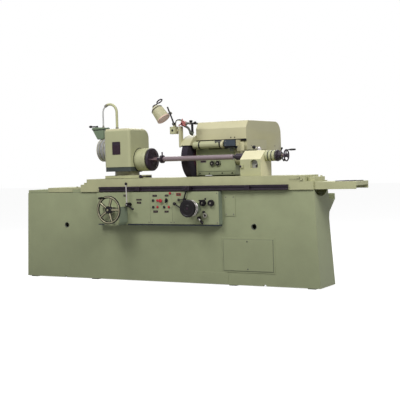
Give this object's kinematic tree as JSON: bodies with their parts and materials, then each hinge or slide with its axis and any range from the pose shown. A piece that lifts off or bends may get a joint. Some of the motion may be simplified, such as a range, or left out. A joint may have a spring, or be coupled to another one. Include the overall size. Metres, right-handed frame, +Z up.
{
  "type": "universal cylindrical grinder",
  "caption": "Cylindrical grinder with a long bed, swivelling table, headstock, tailstock, hooded wheelhead, grinding wheel, coolant tap, lamp and front handwheels.",
  "frame": {"origin": "on the floor, at the middle of the bed's length and 150 mm behind its front face", "axes": "+X to the right along the table, +Y towards the wheelhead at the rear, +Z up"},
  "size_m": [3.353, 1.433, 1.6313],
  "materials": {
    "green_paint": "satin enamel",
    "dark_paint": "dark enamel",
    "cast_paint": "painted casting",
    "ground_steel": "ground",
    "bright_steel": "polished",
    "dark_plastic": "moulded",
    "red_plastic": "moulded",
    "red_paint": "enamel",
    "wheel_grit": "bonded grit",
    "belt_rubber": "moulded",
    "alloy": "cast"
  },
  "bodies": {
    "machine_base": {"bed_casting": "cast_paint", "bed_covers": "green_paint", "levelling_feet": "ground_steel", "apron_covers": "green_paint", "cover_screws": "dark_paint", "panel_trim": "dark_plastic", "table_cylinder": "ground_steel"},
    "table": {"lower_table": "cast_paint", "table_drive": "ground_steel", "dog_rail": "dark_paint", "way_guards": "green_paint", "end_clamps": "cast_paint"},
    "left_dog": {"trip_dog_left": "ground_steel"},
    "right_dog": {"trip_dog_right": "ground_steel"},
    "swivel_table": {"upper_table": "cast_paint"},
    "headstock": {"headstock_base": "cast_paint", "headstock_body": "cast_paint", "headstock_cover": "green_paint", "headstock_motor": "alloy", "conduit_arch": "green_paint"},
    "work": {"faceplate": "dark_paint", "drive_dog": "dark_paint", "work_bar": "ground_steel"},
    "head_clamp": {"headstock_clamp": "dark_plastic"},
    "tailstock": {"tailstock_body": "cast_paint"},
    "quill": {"tail_quill": "ground_steel"},
    "tail_wheel": {"tail_handwheel": "dark_paint"},
    "star": {"tail_star": "dark_paint"},
    "tail_lock": {"tail_clamp": "dark_plastic"},
    "cross_slide": {"wheelhead_slide": "cast_paint"},
    "wheelhead": {"wheelhead_body": "cast_paint", "wheelhead_cover": "green_paint", "wheel_guard": "green_paint", "spindle_motor": "alloy", "drive_belts": "belt_rubber", "internal_spindle": "cast_paint", "coolant_pipe": "dark_paint"},
    "wheel": {"grinding_wheel": "wheel_grit", "wheel_spindle": "ground_steel"},
    "drive_pulley": {"motor_pulley": "ground_steel"},
    "internal_shaft": {"internal_pulley": "dark_paint"},
    "tap": {"coolant_tap": "red_paint"},
    "lamp_rod": {"lamp_arm": "dark_paint"},
    "lamp": {"lamp_head": "green_paint"},
    "table_wheel": {"table_handwheel": "bright_steel"},
    "pinion": {"rack_pinion": "ground_steel"},
    "table_control": {"table_lever": "bright_steel"},
    "cross_wheel": {"cross_handwheel": "dark_plastic"},
    "reverser": {"reversing_lever": "dark_paint"},
    "rapid": {"rapid_lever": "dark_plastic"},
    "infeed_control": {"infeed_lever": "dark_plastic"},
    "feed_knob": {"feed_dial": "dark_plastic"},
    "dwell_knob": {"dwell_dial": "dark_plastic"},
    "valve": {"valve_knob": "dark_plastic"},
    "button_a": {"start_button_a": "dark_plastic"},
    "button_b": {"start_button_b": "dark_plastic"},
    "button_c": {"start_button_c": "dark_plastic"},
    "stop": {"stop_button": "red_plastic"},
    "selector": {"selector_switch": "dark_plastic"}
  },
  "joints": [
    {"name": "table_travel", "type": "slide", "parent": "machine_base", "child": "table", "axis": [1, 0, 0], "range_m": [-0.45, 0.2]},
    {"name": "table_swivel", "type": "hinge", "parent": "table", "child": "swivel_table", "pos_m": [0.32, -0.01, 0.87205], "axis": [0, 0, 1], "range_deg": [-3, 3]},
    {"name": "left_dog_shift", "type": "slide", "parent": "table", "child": "left_dog", "axis": [1, 0, 0], "range_m": [-0.1, 0.1]},
    {"name": "right_dog_shift", "type": "slide", "parent": "table", "child": "right_dog", "axis": [1, 0, 0], "range_m": [-0.04, 0.1]},
    {"name": "headstock_shift", "type": "slide", "parent": "swivel_table", "child": "headstock", "axis": [1, 0, 0], "range_m": [-0.12, 0]},
    {"name": "work_spin", "type": "hinge", "parent": "headstock", "child": "work", "pos_m": [-0.06, 0.01, 1.0851], "axis": [1, 0, 0], "continuous": true},
    {"name": "headstock_clamp_turn", "type": "hinge", "parent": "headstock", "child": "head_clamp", "pos_m": [-0.188, -0.1373, 0.9361], "axis": [0, 1, 0], "range_deg": [-80, 0]},
    {"name": "tailstock_shift", "type": "slide", "parent": "swivel_table", "child": "tailstock", "axis": [1, 0, 0], "range_m": [0, 0.2]},
    {"name": "quill_travel", "type": "slide", "parent": "tailstock", "child": "quill", "axis": [1, 0, 0], "range_m": [0, 0.03]},
    {"name": "tail_wheel_turn", "type": "hinge", "parent": "tailstock", "child": "tail_wheel", "pos_m": [1.172, 0.01, 1.0851], "axis": [1, 0, 0], "range_deg": [-10, 2170]},
    {"name": "star_turn", "type": "hinge", "parent": "tailstock", "child": "star", "pos_m": [1.11, 0.01, 1.0851], "axis": [1, 0, 0], "range_deg": [-30, 60]},
    {"name": "tail_clamp_turn", "type": "hinge", "parent": "tailstock", "child": "tail_lock", "pos_m": [0.905, 0.045, 1.1341], "axis": [0, 0, 1], "range_deg": [-40, 40]},
    {"name": "infeed", "type": "slide", "parent": "machine_base", "child": "cross_slide", "axis": [0, 1, 0], "range_m": [-0.015, 0.15]},
    {"name": "wheelhead_swivel", "type": "hinge", "parent": "cross_slide", "child": "wheelhead", "pos_m": [0.402, 0.49, 0.93005], "axis": [0, 0, 1], "range_deg": [-30, 0]},
    {"name": "wheel_spin", "type": "hinge", "parent": "wheelhead", "child": "wheel", "pos_m": [0.155, 0.25, 1.0851], "axis": [1, 0, 0], "continuous": true},
    {"name": "motor_spin", "type": "hinge", "parent": "wheelhead", "child": "drive_pulley", "pos_m": [0.62, 0.71, 1.1501], "axis": [1, 0, 0], "continuous": true},
    {"name": "internal_spin", "type": "hinge", "parent": "wheelhead", "child": "internal_shaft", "pos_m": [0.4, 0.14, 1.2001], "axis": [1, 0, 0], "continuous": true},
    {"name": "coolant_tap_turn", "type": "hinge", "parent": "wheelhead", "child": "tap", "pos_m": [0.132, 0.106, 1.3971], "axis": [0, 1, 0], "range_deg": [0, 90]},
    {"name": "lamp_arm_turn", "type": "hinge", "parent": "wheelhead", "child": "lamp_rod", "pos_m": [0.027, 0.106, 1.3991], "axis": [0, 1, 0], "range_deg": [-20, 25]},
    {"name": "lamp_head_turn", "type": "hinge", "parent": "lamp_rod", "child": "lamp", "pos_m": [-0.0133, 0.106, 1.4966], "axis": [0, 1, 0], "range_deg": [-15, 15]},
    {"name": "table_wheel_turn", "type": "hinge", "parent": "machine_base", "child": "table_wheel", "pos_m": [-0.375, -0.375, 0.652], "axis": [0, 1, 0], "range_deg": [-1390, 3110]},
    {"name": "pinion_turn", "type": "hinge", "parent": "machine_base", "child": "pinion", "pos_m": [-0.33286, -0.15, 0.72], "axis": [0, 1, 0], "range_deg": [-1040, 470]},
    {"name": "table_lever_turn", "type": "hinge", "parent": "machine_base", "child": "table_control", "pos_m": [-0.262, -0.255, 0.691], "axis": [0, 1, 0], "range_deg": [-18, 18]},
    {"name": "cross_wheel_turn", "type": "hinge", "parent": "machine_base", "child": "cross_wheel", "pos_m": [0.402, -0.335, 0.662], "axis": [0, 1, 0], "range_deg": [-1090, 10810]},
    {"name": "reversing_lever_turn", "type": "hinge", "parent": "machine_base", "child": "reverser", "pos_m": [0.309, -0.222, 0.731], "axis": [0, 1, 0], "range_deg": [-8, 7]},
    {"name": "rapid_lever_turn", "type": "hinge", "parent": "machine_base", "child": "rapid", "pos_m": [0.3, -0.232, 0.682], "axis": [0, 1, 0], "range_deg": [-12, 12]},
    {"name": "infeed_lever_turn", "type": "hinge", "parent": "machine_base", "child": "infeed_control", "pos_m": [0.452, -0.232, 0.575], "axis": [0, 1, 0], "range_deg": [-15, 15]},
    {"name": "feed_dial_turn", "type": "hinge", "parent": "machine_base", "child": "feed_knob", "pos_m": [0.492, -0.236, 0.704], "axis": [0, 1, 0], "range_deg": [-50, 15]},
    {"name": "dwell_dial_turn", "type": "hinge", "parent": "machine_base", "child": "dwell_knob", "pos_m": [0.572, -0.236, 0.702], "axis": [0, 1, 0], "range_deg": [-120, 120]},
    {"name": "valve_turn", "type": "hinge", "parent": "machine_base", "child": "valve", "pos_m": [0.514, -0.224, 0.598], "axis": [0, 1, 0], "range_deg": [-30, 30]},
    {"name": "start_press_a", "type": "slide", "parent": "machine_base", "child": "button_a", "axis": [0, 1, 0], "range_m": [0, 0.004], "stiffness_N_per_m": 400},
    {"name": "start_press_b", "type": "slide", "parent": "machine_base", "child": "button_b", "axis": [0, 1, 0], "range_m": [0, 0.004], "stiffness_N_per_m": 400},
    {"name": "start_press_c", "type": "slide", "parent": "machine_base", "child": "button_c", "axis": [0, 1, 0], "range_m": [0, 0.004], "stiffness_N_per_m": 400},
    {"name": "stop_press", "type": "slide", "parent": "machine_base", "child": "stop", "axis": [0, 1, 0], "range_m": [0, 0.006], "stiffness_N_per_m": 400},
    {"name": "selector_turn", "type": "hinge", "parent": "machine_base", "child": "selector", "pos_m": [0.125, -0.22, 0.725], "axis": [0, 1, 0], "range_deg": [-45, 45]}
  ],
  "couplings": [
    {"joint": "pinion_turn", "follows": "table_travel", "rad_per_m": 40},
    {"joint": "table_wheel_turn", "follows": "table_travel", "rad_per_m": -120},
    {"joint": "tail_wheel_turn", "follows": "quill_travel", "rad_per_m": 1256.6},
    {"joint": "cross_wheel_turn", "follows": "infeed", "rad_per_m": 1256.6},
    {"joint": "motor_spin", "follows": "wheel_spin", "ratio": 1}
  ]
}
